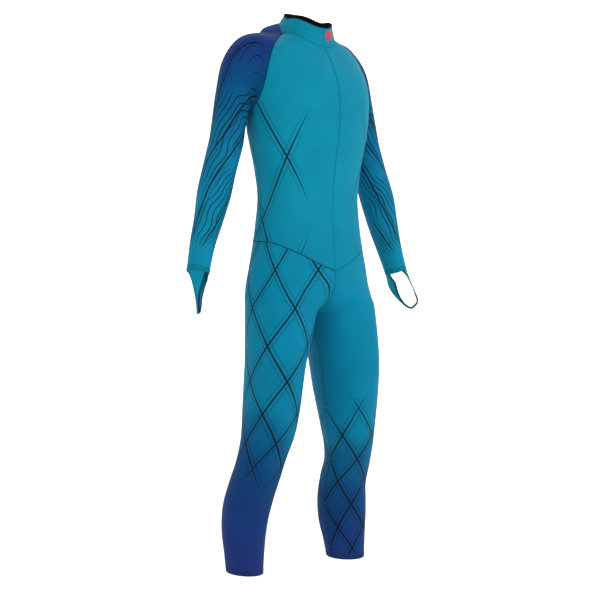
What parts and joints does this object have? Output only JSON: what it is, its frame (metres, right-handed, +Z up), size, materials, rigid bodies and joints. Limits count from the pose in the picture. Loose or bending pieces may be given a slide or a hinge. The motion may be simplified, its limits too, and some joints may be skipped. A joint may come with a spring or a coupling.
{
  "type": "race suit",
  "caption": "Close-fitting one-piece race suit in stretch cloth with a stand collar, raglan sleeves ending in hand loops, a pointed waist seam and legs to above the ankle.",
  "frame": {"origin": "between the shoulders, where the wearer carries the suit, on the trunk's centre line", "axes": "+Z up along the wearer, -Y the way the wearer faces, +X the wearer's left"},
  "size_m": [0.7144, 0.243, 1.3818],
  "materials": {
    "teal_cloth": "matt stretch knit",
    "navy_cloth": "matt stretch knit",
    "coral_rubber": "satin"
  },
  "bodies": {
    "root": {"front_left": "teal_cloth", "front_right": "teal_cloth", "back": "teal_cloth", "leg_left": "teal_cloth", "leg_right": "teal_cloth", "sleeve_left": "navy_cloth", "sleeve_right": "navy_cloth", "collar": "teal_cloth", "hand_loop_left": "teal_cloth", "hand_loop_right": "teal_cloth", "collar_patch": "coral_rubber"}
  },
  "joints": []
}
